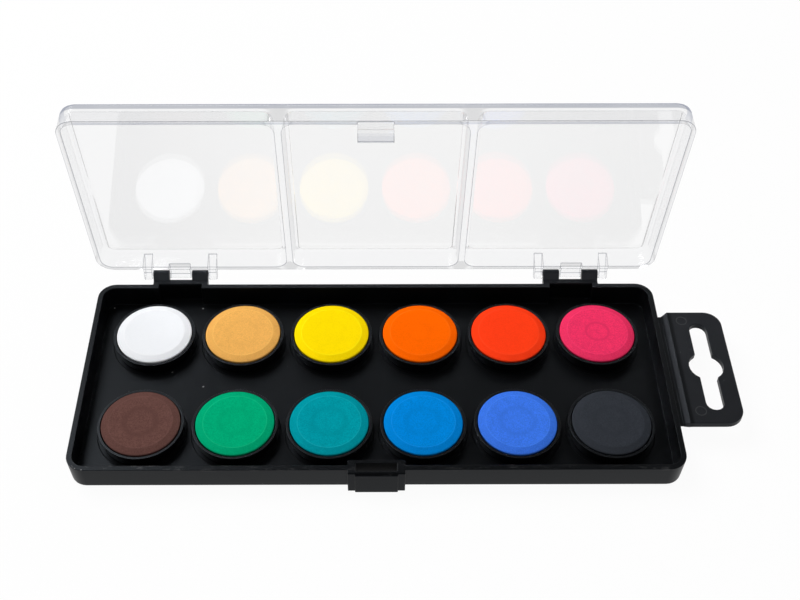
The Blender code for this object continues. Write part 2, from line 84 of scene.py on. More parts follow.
# %% Camera
CAMERA_PLACE = (-1.1 * MM, -232.0 * MM, 291.5 * MM)
CAMERA_TURN = [math.radians(angle) for angle in (43.70, 0.03, -0.14)]
LENS_MM = 56.675
SENSOR_MM = 36.0
SHIFT_X = 0.03295
SHIFT_Y = -0.0325
CLIP_START = 0.01

camera_data = bpy.data.cameras.new("camera")
camera_data.lens = LENS_MM
camera_data.sensor_width = SENSOR_MM
camera_data.sensor_fit = "HORIZONTAL"
camera_data.shift_x = SHIFT_X
camera_data.shift_y = SHIFT_Y
camera_data.clip_start = CLIP_START
camera = bpy.data.objects.new("camera", camera_data)
camera.location = CAMERA_PLACE
camera.rotation_euler = CAMERA_TURN
bpy.context.scene.collection.objects.link(camera)
bpy.context.scene.camera = camera
bpy.context.scene.view_settings.view_transform = "Standard"
print("camera height above the table:", CAMERA_PLACE[2])

# %% [markdown]
# Materials in Blender are node trees, and long formulas are tiresome to wire up by hand. This
# helper wraps one output socket, so that an ordinary sum such as `1 - mask * 0.5` adds the
# Math nodes by itself. A second helper makes any other node from its type, its settings and
# the values or links of its sockets. Both work for shapes made by nodes too.


# %% A socket that can do sums
def socket_of(sockets, key):
    """A node's socket by its number, its identifier or its name."""
    if isinstance(key, int):
        return sockets[key]
    for socket in sockets:
        if key in (socket.identifier, socket.name) and socket.enabled:
            return socket
    raise KeyError(key)


def put(tree, kind, settings=None, values=None):
    """Add a node: its settings first, and then the values or links of its sockets."""
    node = tree.nodes.new(kind)
    for name, setting in (settings or {}).items():
        setattr(node, name, setting)
    for key, value in (values or {}).items():
        socket = socket_of(node.inputs, key)
        if isinstance(value, Value):
            tree.links.new(value.socket, socket)
        else:
            socket.default_value = value
    return node


class Value:
    """One output socket. The usual signs between it and numbers or others add Math nodes."""

    def __init__(self, tree, socket):
        self.tree = tree
        self.socket = socket

    def maths(self, operation, *values):
        """The result of one Math node."""
        node = put(self.tree, "ShaderNodeMath", {"operation": operation}, dict(enumerate(values)))
        return Value(self.tree, node.outputs[0])

    def __add__(self, other):
        return self.maths("ADD", self, other)

    def __sub__(self, other):
        return self.maths("SUBTRACT", self, other)

    def __rsub__(self, other):
        return self.maths("SUBTRACT", other, self)

    def __mul__(self, other):
        return self.maths("MULTIPLY", self, other)

    def __truediv__(self, other):
        return self.maths("DIVIDE", self, other)

    def __mod__(self, other):
        return self.maths("MODULO", self, other)

    def __pow__(self, other):
        return self.maths("POWER", self, other)

    def __abs__(self):
        return self.maths("ABSOLUTE", self)

    def larger(self, other):
        return self.maths("MAXIMUM", self, other)

    def smaller(self, other):
        return self.maths("MINIMUM", self, other)

    def step(self, low, high):
        """Smoothly from 0 at low to 1 at high, which may also be the smaller of the two."""
        settings = {"interpolation_type": "SMOOTHSTEP"}
        flip = low > high
        values = {"Value": self, "From Min": min(low, high), "From Max": max(low, high)}
        values.update({"To Min": 1.0, "To Max": 0.0} if flip else {"To Min": 0.0, "To Max": 1.0})
        return Value(self.tree, put(self.tree, "ShaderNodeMapRange", settings, values).outputs[0])

    __radd__ = __add__
    __rmul__ = __mul__


print("sums between sockets are ready")

# %% [markdown]
# The studio is a plain one: a pale floor, white walls all round and one soft lamp. The
# camera, and whatever is seen through clear plastic, meets pure white. A reflection meets white
# walls too, but a dark ceiling, as in a real studio, and that is why the black tray stays
# black from above and shines along its slopes. It keeps doing so through the clear lid, because
# the masks look at a ray's whole history. Matt surfaces get an even, quieter light, which keeps
# the paints' colours true.

# %% Surround
WHITE = (1, 1, 1, 1)
SURROUND_LIGHT = 0.38
CEILING_LIGHT = 0.03
WALL_TOP = math.sin(math.radians(40))
CEILING_EDGE = math.sin(math.radians(53))


def kinds_of_ray(tree):
    """Two masks: rays seen directly or through something clear, and rays that were mirrored."""
    path = put(tree, "ShaderNodeLightPath")

    def output(name):
        return Value(tree, path.outputs[name])

    sharp = output("Is Camera Ray").larger(output("Is Transmission Ray"))
    sharp = sharp.larger(output("Is Glossy Ray")) * (1 - output("Diffuse Depth").smaller(1))
    was_mirrored = output("Glossy Depth").smaller(1)
    return sharp * (1 - was_mirrored), sharp * was_mirrored


world = bpy.data.worlds.new("studio")
world.use_nodes = True
world_tree = world.node_tree
world_tree.nodes.clear()
direct, mirrored = kinds_of_ray(world_tree)
heading = Value(world_tree, put(world_tree, "ShaderNodeTexCoord").outputs["Generated"])
upward = Value(world_tree, put(world_tree, "ShaderNodeSeparateXYZ", values={0: heading}).outputs["Z"])
walls = upward.step(CEILING_EDGE, WALL_TOP) * (1 - CEILING_LIGHT) + CEILING_LIGHT
strength = direct + mirrored * walls + (1 - direct - mirrored) * SURROUND_LIGHT
surround = put(world_tree, "ShaderNodeBackground", values={"Color": WHITE, "Strength": strength})
world_out = put(world_tree, "ShaderNodeOutputWorld")
world_tree.links.new(surround.outputs[0], world_out.inputs["Surface"])
bpy.context.scene.world = world
print("light from the surround:", SURROUND_LIGHT, "and from its ceiling, mirrored:", CEILING_LIGHT)

# %% [markdown]
# The floor mixes the same white with its real shading, so the box still casts a soft shadow.
# Mirrored in the plastic it is a little dimmer than the walls. It lies a hair below the tray,
# because two surfaces in one place would flicker.

# %% Floor
FLOOR_SIZE = 3.0
FLOOR_DROP = 0.1 * MM
FLOOR_PAPER = (0.9, 0.9, 0.9, 1)
FLOOR_WHITENESS = 0.95
FLOOR_MIRRORED = 0.75

floor_finish = bpy.data.materials.new("studio floor")
floor_finish.use_nodes = True
floor_tree = floor_finish.node_tree
floor_tree.nodes.clear()
paper = put(floor_tree, "ShaderNodeBsdfDiffuse", values={"Color": FLOOR_PAPER})
direct, mirrored = kinds_of_ray(floor_tree)
floor_glow = 1 - mirrored * (1 - FLOOR_MIRRORED)
glow = put(floor_tree, "ShaderNodeEmission", values={"Color": WHITE, "Strength": floor_glow})
blend = put(floor_tree, "ShaderNodeMixShader", values={0: direct * FLOOR_WHITENESS + mirrored})
floor_tree.links.new(paper.outputs[0], blend.inputs[1])
floor_tree.links.new(glow.outputs[0], blend.inputs[2])
floor_out = put(floor_tree, "ShaderNodeOutputMaterial")
floor_tree.links.new(blend.outputs[0], floor_out.inputs["Surface"])

floor_mesh = bpy.data.meshes.new("floor")
half = FLOOR_SIZE / 2
floor_corners = [(-half, -half, 0), (half, -half, 0), (half, half, 0), (-half, half, 0)]
floor_mesh.from_pydata(floor_corners, [], [(0, 1, 2, 3)])
floor_mesh.materials.append(floor_finish)
floor = bpy.data.objects.new("floor", floor_mesh)
floor.location.z = -FLOOR_DROP
bpy.context.scene.collection.objects.link(floor)
print("floor:", FLOOR_SIZE, "m square")

# %% [markdown]
# The lamp stands behind the box and to its left. That was read off the paints: the sloping
# edge of each tablet is lightest at its left and rear, and darkest at its front and right.

# %% Lamp
LAMP_PLACE = Vector((-0.70, 0.42, 1.0))
LAMP_SIZE = 0.8
LAMP_WATTS = 13.3

lamp_data = bpy.data.lights.new("soft lamp", "AREA")
lamp_data.shape = "SQUARE"
lamp_data.size = LAMP_SIZE
lamp_data.energy = LAMP_WATTS
lamp = bpy.data.objects.new("soft lamp", lamp_data)
lamp.location = LAMP_PLACE
lamp.rotation_euler = LAMP_PLACE.to_track_quat("Z", "Y").to_euler()
bpy.context.scene.collection.objects.link(lamp)
print("lamp:", LAMP_WATTS, "W,", round(LAMP_PLACE.length, 2), "m away")

# %% [markdown]
# Every finish below starts from the same few nodes: a Principled shader, the position on the
# piece, and noise that is read at that position. Lengths in a noise's scale are easier to
# think of as the size of its blotches, so the helper takes that size and turns it round.
# Noise mostly lies between 0.3 and 0.7, so a step that starts above 0.5 keeps its high patches
# only.


# %% Helpers for finishes
class Finish:
    """A material that is being built round one Principled shader."""

    def __init__(self, name, centre=(0, 0, 0), **constants):
        self.material = bpy.data.materials.new(name)
        self.material.use_nodes = True
        self.tree = self.material.node_tree
        self.tree.nodes.clear()
        self.shader = put(self.tree, "ShaderNodeBsdfPrincipled", values=constants)
        self.out = put(self.tree, "ShaderNodeOutputMaterial")
        self.tree.links.new(self.shader.outputs[0], self.out.inputs["Surface"])
        where = put(self.tree, "ShaderNodeTexCoord").outputs["Object"]
        mapping = put(self.tree, "ShaderNodeMapping", {"vector_type": "POINT"},
                      {"Vector": Value(self.tree, where), "Location": [-part for part in centre]})
        self.place = Value(self.tree, mapping.outputs[0])
        self.x, self.y, self.z = self.parts(self.place)

    def parts(self, vector):
        """The three numbers of a vector."""
        split = put(self.tree, "ShaderNodeSeparateXYZ", values={0: vector})
        return [Value(self.tree, socket) for socket in split.outputs]

    def noise(self, blotch, detail=2.0, roughness=0.5, stretch=None, seed=0.0):
        """Smooth noise whose blotches are about this size."""
        place = self.place
        if stretch is not None:
            mapping = put(self.tree, "ShaderNodeMapping", {"vector_type": "POINT"},
                          {"Vector": place, "Scale": stretch})
            place = Value(self.tree, mapping.outputs[0])
        values = {"Vector": place, "W": seed, "Scale": 1 / blotch, "Detail": detail,
                  "Roughness": roughness}
        node = put(self.tree, "ShaderNodeTexNoise", {"noise_dimensions": "4D"}, values)
        return Value(self.tree, node.outputs[0])

    def specks(self, spacing, size, seed=0.0):
        """1 inside small round specks that lie about so far apart."""
        values = {"Vector": self.place, "W": seed, "Scale": 1 / spacing}
        node = put(self.tree, "ShaderNodeTexVoronoi", {"voronoi_dimensions": "4D"}, values)
        return Value(self.tree, node.outputs["Distance"]).step(size / spacing, size / spacing * 0.5)

    def distance(self, x=0.0, y=0.0):
        """How far away a point is, seen from above."""
        across, along = self.x - x, self.y - y
        return (across * across + along * along) ** 0.5

    def colour(self, share, first, second):
        """From the first colour to the second as the share goes from 0 to 1."""
        values = {"Factor_Float": share, "A_Color": first, "B_Color": second}
        mixer = put(self.tree, "ShaderNodeMix", {"data_type": "RGBA"}, values)
        return Value(self.tree, socket_of(mixer.outputs, "Result_Color"))

    def drive(self, **inputs):
        """Link values to the shader's inputs, with _ for a blank in a name."""
        for name, value in inputs.items():
            self.tree.links.new(value.socket, self.shader.inputs[name.replace("_", " ")])

    def bump(self, height, depth):
        """Raise the surface by the height's share of the depth."""
        values = {"Height": height, "Distance": depth, "Strength": 1.0}
        node = put(self.tree, "ShaderNodeBump", values=values)
        self.tree.links.new(node.outputs[0], self.shader.inputs["Normal"])


def shade(level, tint=(1, 1, 1)):
    """A grey of this level, or a tinted one."""
    return (level * tint[0], level * tint[1], level * tint[2], 1)


print("finishes can be built")

# %% [markdown]
# The tray is moulded in black plastic with a fine satin grain. On the real one the front rim
# is scuffed, most of all at its left corner. Pale dust and a few crumbs lie on the floor, and
# more dust and two round moulding marks show on the hang tab. The hinge knuckles, the slope
# down to the tab and the rear rim get a paler black as painted sheen, where they would catch
# the lamp, and the tab is paler in an uneven cloud. Each of these is one mask. Where a mask
# starts and where it is full is written as a pair of lengths: it is 0 at the first of them
# and 1 at the second.

# %% Colours and places on the tray
COOL = (0.95, 1.0, 1.15)
COOL_SHINE = (0.78, 0.88, 1.0, 1)
BLACKS = (shade(0.0012, COOL), shade(0.0020, COOL))
# Painted sheen: a paler black for the parts that would catch the lamp.
SHEEN_BLACK = shade(0.017, COOL)
SCUFF_GREY = shade(0.26)
TRAY_SHINE = 0.17
TRAY_ROUGHNESS = 0.26
CLOUD_ROUGHNESS = 0.10
SCUFF_ROUGHNESS = 0.3
TRAY_RELIEF = 0.02 * MM
RIM_HEIGHT = (RIM_TOP - 1.2 * MM, RIM_TOP - 0.1 * MM)
FROM_FRONT = (3.2 * MM, 1.0 * MM)
CORNER_ACROSS = (26 * MM, 4 * MM)
CORNER_ALONG = (9 * MM, 2 * MM)
TAB_START = (88.5 * MM, 89.5 * MM)
SLOPE_MIDDLE = 87.3 * MM
FROM_SLOPE = (0.7 * MM, 0.4 * MM)
KNUCKLE_HEIGHT = (8.3 * MM, 8.6 * MM)
REAR_RIM = (33.0 * MM, 33.3 * MM)
REAR_RIM_SHARE = 0.6
MARKS = ((91.8 * MM, 19.05 * MM), (91.6 * MM, -14.85 * MM))
MARK_RADIUS = 1.5 * MM
MARK_WIDTH = 0.22 * MM
CRUMBS = ((-60.4 * MM, 5.3 * MM), (-50.7 * MM, -0.2 * MM), (-53.6 * MM, 30.7 * MM),
          (-81.1 * MM, 31.0 * MM), (-62.0 * MM, 25.8 * MM))
CRUMB_SIZE = (0.42 * MM, 0.25 * MM)
CRUMB_RAGGEDNESS = 0.2 * MM
print("crumbs:", len(CRUMBS), "moulding marks:", len(MARKS))

# %% [markdown]
# Colour, roughness and bump all come from the same masks, so a scuff is pale and dull in the
# same place. Stretched noise makes scratches that run along the rim, and the specks are
# thinned out by patches of a coarser noise, because dust never lies evenly. The pairs of levels
# say from which value on a noise counts, and from which it counts in full. The numbers after
# them say how pale each mask turns the plastic.

# %% Wear and painted sheen of the tray
SCRATCH_LEVELS = (0.56, 0.66)
FLECK_LEVELS = (0.48, 0.56)
DUST_LEVELS = (0.5, 0.62)
TAB_DUST_LEVELS = (0.44, 0.6)
RIM_PALENESS = 0.10
CORNER_PALENESS = 0.6
DUST_PALENESS = 0.5
CRUMB_PALENESS = 0.9
MARK_PALENESS = 0.10


def scuff_mask(finish, rim):
    """Scratches along the front rim, with more of them and pale flecks at its left corner."""
    from_front = finish.y - TRAY_FRONT
    corner = (finish.x + TRAY_SIDE).step(*CORNER_ACROSS) * from_front.step(*CORNER_ALONG)
    front = from_front.step(*FROM_FRONT)
    scratch = finish.noise(1.4 * MM, detail=4, roughness=0.75, stretch=(0.25, 1, 1), seed=3.0)
    scratches = scratch.step(*SCRATCH_LEVELS) * (corner * CORNER_PALENESS + RIM_PALENESS)
    patches = finish.noise(3 * MM, seed=14.0).step(*FLECK_LEVELS)
    flecks = finish.specks(0.8 * MM, 0.20 * MM, seed=12.0) * patches
    return (rim * front * scratches).larger(flecks * rim * front * corner)


def dust_mask(finish, tab):
    """Specks of dust in patches, and finer ones on the tab."""
    patches = finish.noise(9 * MM, seed=5.0).step(*DUST_LEVELS)
    tab_patches = tab * finish.noise(7 * MM, seed=8.0).step(*TAB_DUST_LEVELS)
    tab_dust = finish.specks(1.7 * MM, 0.17 * MM, seed=9.0) * tab_patches
    return tab_dust.larger(finish.specks(2.6 * MM, 0.20 * MM) * patches)


def sheen_mask(finish, rim, tab, cloud):
    """Painted sheen on the knuckles, the slope down to the tab and the rear rim, and a paler cloud on
    the tab.
    """
    sheen = finish.z.step(*KNUCKLE_HEIGHT)
    sheen = sheen.larger(abs(finish.x - SLOPE_MIDDLE).step(*FROM_SLOPE))
    sheen = sheen.larger(rim * finish.y.step(*REAR_RIM) * REAR_RIM_SHARE)
    return sheen.larger(tab * (cloud * 0.5 + 0.5))


print("masks of the tray's wear are ready")

# %% [markdown]
# Now the finish itself. A slow cloud of noise moves it between two blacks, the painted sheen
# goes to a third, and whatever is pale lies over them. The moulding marks are rings, so each is the
# distance from its middle, compared with its radius.


# %% Black tray plastic
def tray_finish():
    """Black plastic with a satin grain, scuffed and dusty, with painted sheen where it would catch
    the lamp.
    """
    finish = Finish("tray plastic", **{"Specular IOR Level": TRAY_SHINE, "Specular Tint": COOL_SHINE})
    cloud = finish.noise(18 * MM, detail=3)
    grain = finish.noise(0.16 * MM, detail=1)
    rim = finish.z.step(*RIM_HEIGHT)
    tab = finish.x.step(*TAB_START)
    scuff = scuff_mask(finish, rim)
    dust = dust_mask(finish, tab)
    marks = sum(1 - abs(finish.distance(*mark) - MARK_RADIUS).step(0, MARK_WIDTH) for mark in MARKS)
    ragged = grain * CRUMB_RAGGEDNESS
    crumbs = sum((finish.distance(*crumb) + ragged).step(*CRUMB_SIZE) for crumb in CRUMBS)
    black = finish.colour(cloud, *BLACKS)
    # Painted sheen: the paler black goes on the knuckles, the slope, the rear rim and the tab.
    black = finish.colour(sheen_mask(finish, rim, tab, cloud), black, SHEEN_BLACK)
    pale = scuff + dust * DUST_PALENESS + crumbs * CRUMB_PALENESS + marks * rim * MARK_PALENESS
    finish.drive(Base_Color=finish.colour(pale, black, SCUFF_GREY),
                 Roughness=cloud * CLOUD_ROUGHNESS + scuff * SCUFF_ROUGHNESS + TRAY_ROUGHNESS)
    finish.bump(grain * 0.5 + scuff * 0.4 + marks * 1.5 * rim, TRAY_RELIEF)
    return finish.material


tray_plastic = tray_finish()
print("finish:", tray_plastic.name)

# %% [markdown]
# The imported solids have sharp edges, but moulded plastic never does, and it is the rounded
# edge that catches the light. A copy of the solid is merged, its flat faces are joined, and a
# Bevel modifier rounds every sharp edge by a fraction of a millimetre. A last modifier keeps
# the flat faces looking flat.

# %% Tray shell with rounded edges
MERGE_GAP = 0.002 * MM
FLAT_ANGLE = math.radians(0.6)
SHARP_ANGLE = math.radians(32)
ROUNDING_STEPS = 2
TRAY_ROUNDING = 0.16 * MM


def rounded_copy(node_name, piece_name, material, width, edge_material=None):
    """A dressed copy of a solid; the rounding takes the edge material where one is given."""
    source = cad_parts[node_name]
    mesh = bmesh.new()
    mesh.from_mesh(source.data)
    bmesh.ops.remove_doubles(mesh, verts=mesh.verts, dist=MERGE_GAP)
    bmesh.ops.dissolve_limit(mesh, angle_limit=FLAT_ANGLE, verts=mesh.verts, edges=mesh.edges)
    for face in mesh.faces:
        face.smooth = True
    data = bpy.data.meshes.new(piece_name)
    mesh.to_mesh(data)
    mesh.free()
    data.materials.clear()
    data.materials.append(material)
    for polygon in data.polygons:
        polygon.material_index = 0
    piece = bpy.data.objects.new(piece_name, data)
    bpy.context.scene.collection.objects.link(piece)
    bevel = piece.modifiers.new("rounding", "BEVEL")
    bevel.width = width
    bevel.segments = ROUNDING_STEPS
    bevel.limit_method = "ANGLE"
    bevel.angle_limit = SHARP_ANGLE
    bevel.use_clamp_overlap = False
    bevel.miter_outer = "MITER_ARC"
    if edge_material is not None:
        data.materials.append(edge_material)
        bevel.material = len(data.materials) - 1
    flatten = piece.modifiers.new("flat faces", "WEIGHTED_NORMAL")
    flatten.weight = 100
    return piece


tray_shell = rounded_copy("tray", "tray_shell", tray_plastic, TRAY_ROUNDING)
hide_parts("tray")
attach(tray_shell, "tray")
print("tray shell faces:", len(tray_shell.data.polygons))

# %% [markdown]
# The clear lid needs a few masks of its own: the flat panels of the three mixing wells, the
# hook of the latch, the hinge arms, and two lines for painted shade, where the edges of the
# real one bend the light aside and look darker. These are the top of the front wall with its
# corners, and the front wall's free edge. They are easiest to describe on a closed lid, where
# every part lies level or stands upright, so the position is first turned about the hinge. The
# band at the wall's top is whatever reaches far enough beyond a core, a rectangle inside the
# lid, so it goes round the corners by itself.

# %% Masks of the lid
LID_OPEN_ANGLE = math.radians(80.4)
HINGE_POINT = (0, 37.9 * MM, 9.25 * MM)
DIVIDER_X = 26.1 * MM
FROM_DIVIDER = (2.4 * MM, 2.5 * MM)
PANEL_HEIGHT = (14.1 * MM, 14.2 * MM)
PANEL_ACROSS = (82.2 * MM, 82.1 * MM)
PANEL_ALONG = (31.8 * MM, 31.7 * MM)
PANEL_LEAN = math.radians(-0.6)
HOOK_HEIGHT = (4.5 * MM, 4.3 * MM)
ARM_HEIGHT = (8.3 * MM, 8.1 * MM)
BAND_HEIGHT = (13.0 * MM, 13.2 * MM)
BAND_CORE = (79.8 * MM, 29.4 * MM)
BAND_REACH = (3.8 * MM, 3.9 * MM)
BAND_ALONG = (-25 * MM, -30 * MM)
FREE_EDGE_LOW = (8.1 * MM, 8.2 * MM)
FREE_EDGE_HIGH = (8.6 * MM, 8.5 * MM)
FREE_EDGE_OUTER = (-34.3 * MM, -34.1 * MM)
FREE_EDGE_INNER = (-33.25 * MM, -33.35 * MM)
FREE_EDGE_ACROSS = (81 * MM, 79 * MM)


def lid_masks(finish):
    """Masks of the panels, the hook, the arms and the lines of painted shade, and the panels' slope.
    """
    values = {"Vector": finish.place, "Center": HINGE_POINT, "Angle": LID_OPEN_ANGLE}
    closed = put(finish.tree, "ShaderNodeVectorRotate", {"rotation_type": "X_AXIS"}, values)
    x, y, z = finish.parts(Value(finish.tree, closed.outputs[0]))
    across, along = abs(x), abs(y)
    panel = z.step(*PANEL_HEIGHT) * abs(across - DIVIDER_X).step(*FROM_DIVIDER)
    panel = panel * across.step(*PANEL_ACROSS) * along.step(*PANEL_ALONG)
    hook = z.step(*HOOK_HEIGHT)
    arms = z.step(*ARM_HEIGHT) * (1 - hook)
    beyond_x = (across - BAND_CORE[0]).larger(0)
    beyond_y = (y * -1 - BAND_CORE[1]).larger(0)
    reach = (beyond_x * beyond_x + beyond_y * beyond_y) ** 0.5
    band = z.step(*BAND_HEIGHT) * reach.step(*BAND_REACH) * y.step(*BAND_ALONG)
    free_edge = z.step(*FREE_EDGE_LOW) * z.step(*FREE_EDGE_HIGH)
    free_edge = free_edge * y.step(*FREE_EDGE_OUTER) * y.step(*FREE_EDGE_INNER)
    painted_shade_lines = band.larger(free_edge * across.step(*FREE_EDGE_ACROSS))
    return panel, hook, arms, painted_shade_lines, y * math.tan(PANEL_LEAN)


print("the lid stands open by", round(math.degrees(LID_OPEN_ANGLE), 1), "degrees")

# %% [markdown]
# The lid is clear polystyrene. A Principled shader with full transmission bends and mirrors
# light as the real plastic does, so the paints show up mirrored in the panels by themselves.
# In the walls and dividers it looks much too dark, though, so there a Mix Shader sends a large
# share of the rays straight on, through a pale Transparent shader or, on the lines of painted
# shade, a darker one. Shadow rays all go straight on, because a lamp takes clear plastic for a solid.
#
# A ray that went in straight has to come out straight, and a bent one bent, or else it may be
# mirrored inside the wall and show as a black line. Backfacing tells that a ray is coming out,
# and each bend adds one to Transmission Depth, so an even number says that it went in straight.
#
# Rounded edges throw light aside and read as thin grey lines, so the Bevel modifier gives its
# own faces a darker copy of this finish, except that the arms' edges stay quiet. The panels get
# paler from the left side to the middle, as the real ones do.

# %% Clear lid
LID_TINT = (0.952, 0.953, 0.957, 1)
# Painted shade: the darker tints for the two dark lines and for the rounded edges.
LINE_SHADE_TINT = (0.66, 0.68, 0.74, 1)
EDGE_SHADE_TINT = (0.50, 0.51, 0.54, 1)
LID_IOR = 1.46
LID_ROUNDING = 0.14 * MM
PALE_FROM = (-78 * MM, -25 * MM)
PALE_UNTIL = (25 * MM, 70 * MM)
RIGHT_TINT_SHARE = 0.45
WALL_CLEARNESS = 0.80
ARM_CLEARNESS = 0.50
HOOK_CLEARNESS = 0.90
HOOK_SHADE = 0.25
ARM_EDGE_FADE = 0.75
WAVE_DEPTH = 0.015 * MM
LID_ROUGHNESS = 0.015
WEAR_ROUGHNESS = 0.03
WEAR_LEVELS = (0.5, 0.8)


def lid_finish(name, shade_tint, on_edges):
    """Clear plastic, with painted shade in the darker tint on its two dark lines or on all of the
    rounded edges.
    """
    base = shade_tint if on_edges else LID_TINT
    finish = Finish(name, **{"Base Color": base, "Transmission Weight": 1.0, "IOR": LID_IOR})
    wave = finish.noise(14 * MM, detail=1)
    wear = finish.noise(3 * MM, detail=3, seed=2.0)
    finish.drive(Roughness=wear.step(*WEAR_LEVELS) * WEAR_ROUGHNESS + LID_ROUGHNESS)
    panel, hook, arms, painted_shade_lines, lean = lid_masks(finish)
    finish.bump(wave + panel * lean / WAVE_DEPTH, WAVE_DEPTH)
    # Painted shade: on all rounded edges but the arms', or on the two dark lines and the hook.
    if on_edges:
        painted_shade = 1 - arms * ARM_EDGE_FADE
    else:
        painted_shade = (painted_shade_lines * (wave * 0.6 + 0.6)).larger(hook * HOOK_SHADE)
        pale = finish.x.step(*PALE_FROM) * (1 - finish.x.step(*PALE_UNTIL) * RIGHT_TINT_SHARE)
        finish.drive(Base_Color=finish.colour(pale, LID_TINT, WHITE))
    see_through = put(finish.tree, "ShaderNodeMixShader", values={0: painted_shade})
    for socket, tint in ((1, LID_TINT), (2, shade_tint)):
        clear = put(finish.tree, "ShaderNodeBsdfTransparent", values={"Color": tint})
        finish.tree.links.new(clear.outputs[0], see_through.inputs[socket])
    clearness = WALL_CLEARNESS - panel * WALL_CLEARNESS
    clearness = clearness + hook * (HOOK_CLEARNESS - WALL_CLEARNESS)
    clearness = clearness + arms * (ARM_CLEARNESS - WALL_CLEARNESS)
    path = put(finish.tree, "ShaderNodeLightPath")
    went_in_straight = 1 - Value(finish.tree, path.outputs["Transmission Depth"]) % 2
    leaving = Value(finish.tree, put(finish.tree, "ShaderNodeNewGeometry").outputs["Backfacing"])
    straight = clearness * (1 - leaving) + went_in_straight * leaving
    shadow = Value(finish.tree, path.outputs["Is Shadow Ray"])
    mixer = put(finish.tree, "ShaderNodeMixShader", values={0: shadow.larger(straight)})
    finish.tree.links.new(finish.shader.outputs[0], mixer.inputs[1])
    finish.tree.links.new(see_through.outputs[0], mixer.inputs[2])
    finish.tree.links.new(mixer.outputs[0], finish.out.inputs["Surface"])
    return finish.material


clear_plastic = lid_finish("clear plastic", LINE_SHADE_TINT, on_edges=False)
clear_edges = lid_finish("clear plastic edges", EDGE_SHADE_TINT, on_edges=True)
clear_lid = rounded_copy("lid", "clear_lid", clear_plastic, LID_ROUNDING, clear_edges)
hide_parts("lid")
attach(clear_lid, "lid")
print("lid faces:", len(clear_lid.data.polygons))

# %% [markdown]
# Pans and paints are round, so each is a half outline that is spun about its middle. The
# outline is drawn once as (radius, height) pairs in millimetres, and spinning it in many small
# steps keeps the circles smooth even close up.

# %% Spin an outline
SPIN_MERGE_GAP = 0.001 * MM
PAN_SHARP_ANGLE = math.radians(40)
PAN_ROUNDING_STEPS = 3
ROUND_STEPS = 96


def turned(name, outline, steps, rounding=0.0):
    """Spin the outline about the upright axis, and round its sharp edges if asked to."""
    mesh = bmesh.new()
    points = [mesh.verts.new((radius * MM, 0, height * MM)) for radius, height in outline]
    edges = [mesh.edges.new(pair) for pair in zip(points, points[1:])]
    bmesh.ops.spin(mesh, geom=points + edges, cent=(0, 0, 0), axis=(0, 0, 1), angle=math.tau,
                   steps=steps)
    bmesh.ops.remove_doubles(mesh, verts=mesh.verts, dist=SPIN_MERGE_GAP)
    bmesh.ops.recalc_face_normals(mesh, faces=mesh.faces)
    for face in mesh.faces:
        face.smooth = True
    data = bpy.data.meshes.new(name)
    mesh.to_mesh(data)
    mesh.free()
    piece = bpy.data.objects.new(name, data)
    bpy.context.scene.collection.objects.link(piece)
    if rounding:
        bevel = piece.modifiers.new("rounding", "BEVEL")
        bevel.width = rounding
        bevel.segments = PAN_ROUNDING_STEPS
        bevel.limit_method = "ANGLE"
        bevel.angle_limit = PAN_SHARP_ANGLE
        bevel.harden_normals = True
    return piece


PAN_OUTLINE = [(0, 0.8), (4.3, 0.8), (4.3, 0), (11.4, 0), (11.9, 3.55), (12.2, 3.55), (12.2, 4.05),
               (11.45, 4.05), (10.95, 1.6), (0, 1.6)]
PAN_ROUNDING = 0.11 * MM

pan_pattern = turned("pan_pattern", PAN_OUTLINE, ROUND_STEPS, PAN_ROUNDING)
print("pan outline points:", len(PAN_OUTLINE))

# %% [markdown]
# A pressed tablet has a flat top, a sloping edge, and a faint ring where the press touched
# it. The outline holds the first two, with extra rings of points on top so that the next step
# has something to push about.

# %% Tablet outline
TABLET_FOOT = 10.65
TABLET_BOTTOM = 1.9
TABLET_RADIUS = 11.15
TABLET_SHOULDER = 4.05
TABLET_EDGE = 4.3
TABLET_FLAT = 9.06
TABLET_TOP = 5.0
SLOPE_RINGS = 6
TOP_RINGS = 22

tablet_outline = [(0, TABLET_BOTTOM), (TABLET_FOOT, TABLET_BOTTOM), (TABLET_RADIUS, TABLET_SHOULDER)]
for ring in range(SLOPE_RINGS + 1):
    share = ring / SLOPE_RINGS
    tablet_outline.append((TABLET_RADIUS + (TABLET_FLAT - TABLET_RADIUS) * share,
                           TABLET_EDGE + (TABLET_TOP - TABLET_EDGE) * share))
for ring in range(1, TOP_RINGS + 1):
    tablet_outline.append((TABLET_FLAT * (1 - ring / TOP_RINGS), TABLET_TOP))
tablet_pattern = turned("tablet_pattern", tablet_outline, 2 * ROUND_STEPS)
print("tablet outline points:", len(tablet_outline))

# %% [markdown]
# The same pan sits in twelve places, which is a job for Geometry Nodes. This tree takes a
# pattern, presses a little relief into its top, puts it down at a given place, and gives it
# its finish. The relief is three things: shallow dents, the ring of the press, and chips
# along the edge. The two depths below are compared with that of a dent, and the edge zone is
# a share of the radius.

# %% A tree that presses and places a round piece
DENT_SIZE = 4 * MM
CHIP_SIZE = 1.6 * MM
CHIP_LEVELS = (0.60, 0.72)
CHIP_DEPTH = 2.5
PRESS_WIDTH = 0.9 * MM
PRESS_DEPTH = 0.35
TOP_ZONE = (-0.6 * MM, -0.2 * MM)
EDGE_ZONE = (0.93, 1.0)


def new_tree(name, inputs):
    """A Geometry Nodes tree that takes and gives geometry, with these inputs besides."""
    tree = bpy.data.node_groups.new(name, "GeometryNodeTree")
    tree.interface.new_socket("Geometry", in_out="OUTPUT", socket_type="NodeSocketGeometry")
    tree.interface.new_socket("Geometry", in_out="INPUT", socket_type="NodeSocketGeometry")
    for label, kind in inputs.items():
        tree.interface.new_socket(label, in_out="INPUT", socket_type="NodeSocket" + kind)
    return tree


